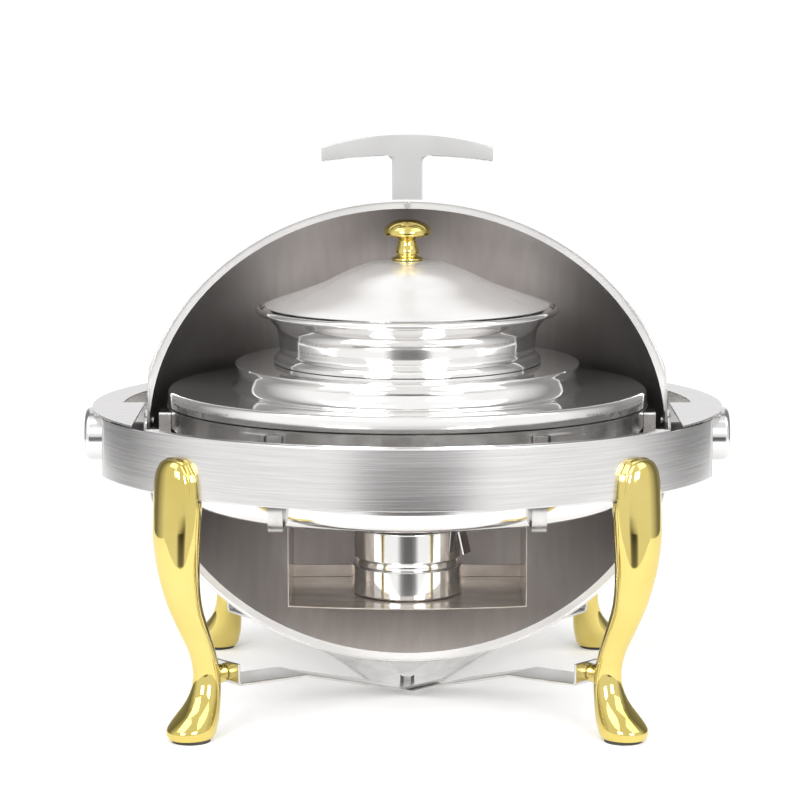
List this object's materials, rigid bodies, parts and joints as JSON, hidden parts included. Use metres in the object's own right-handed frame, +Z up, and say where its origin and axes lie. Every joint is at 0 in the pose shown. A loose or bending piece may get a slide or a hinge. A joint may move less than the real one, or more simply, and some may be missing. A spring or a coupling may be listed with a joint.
{
  "type": "roll top chafer",
  "caption": "Oval roll-top chafer: a half-dome cover rolls back over a soup inset, water pan and fuel holder in a banded frame on cabriole legs.",
  "frame": {"origin": "on the floor under the middle of the frame band", "axes": "+X to the right along the pivot axis as seen by a guest, +Y to the back, +Z up; the guest stands at -Y"},
  "size_m": [0.543, 0.468, 0.4755],
  "materials": {
    "band_steel": "satin, fine horizontal grain",
    "carrier_steel": "satin",
    "polished_steel": "mirror polish",
    "cover_steel": "polished outside, satin inside",
    "screw_steel": "bright",
    "gold": "polished gold plate",
    "pad_rubber": "matte",
    "bush_plastic": "matte",
    "can_metal": "satin"
  },
  "bodies": {
    "frame": {"adapter_plate": "polished_steel", "brace_lower": "carrier_steel", "brace_middle_screw": "screw_steel", "brace_screws": "screw_steel", "brace_upper": "carrier_steel", "carrier_hoop": "carrier_steel", "cradle_strap_left": "carrier_steel", "cradle_strap_right": "carrier_steel", "foot_pads": "pad_rubber", "frame_band": "band_steel", "frame_top_plate": "band_steel", "fuel_tray": "polished_steel", "leg_front_left": "gold", "leg_front_right": "gold", "leg_rear_left": "gold", "leg_rear_right": "gold", "leg_screws": "screw_steel", "pan_bracket_left": "carrier_steel", "pan_bracket_right": "carrier_steel", "pivot_bush_left": "bush_plastic", "pivot_bush_right": "bush_plastic", "pivot_cap_left": "polished_steel", "pivot_cap_right": "polished_steel", "pivot_lug_left": "carrier_steel", "pivot_lug_right": "carrier_steel", "pivot_pin_left": "polished_steel", "pivot_pin_right": "polished_steel", "soup_inset": "polished_steel", "tray_screws": "screw_steel", "water_pan": "polished_steel"},
    "dome": {"dome_shell": "cover_steel", "dome_ear_left": "cover_steel", "dome_ear_right": "cover_steel", "dome_ear_rivets": "screw_steel", "dome_handle": "polished_steel", "handle_screw": "screw_steel"},
    "inset_lid": {"inset_lid": "polished_steel", "lid_knob": "gold", "knob_screw": "screw_steel"},
    "fuel_holder": {"fuel_holder": "polished_steel", "fuel_can": "can_metal"},
    "holder_cover": {"holder_cover": "polished_steel", "damper_rivet": "screw_steel"},
    "damper": {"damper": "polished_steel"}
  },
  "joints": [
    {"name": "dome_roll", "type": "hinge", "parent": "frame", "child": "dome", "pos_m": [0, 0, 0.2235], "axis": [1, 0, 0], "range_deg": [-80, 83]},
    {"name": "lid_lift", "type": "slide", "parent": "frame", "child": "inset_lid", "axis": [0, 0.9063, -0.4226], "range_m": [-0.16, 0]},
    {"name": "fuel_holder_slide", "type": "slide", "parent": "frame", "child": "fuel_holder", "axis": [0, -1, 0], "range_m": [0, 0.16]},
    {"name": "holder_cover_lift", "type": "slide", "parent": "fuel_holder", "child": "holder_cover", "axis": [0, 0, 1], "range_m": [0, 0.016]},
    {"name": "damper_swing", "type": "hinge", "parent": "holder_cover", "child": "damper", "pos_m": [-0.03489, 0.01627, 0.1464], "axis": [0, 0, -1], "range_deg": [0, 65]}
  ]
}
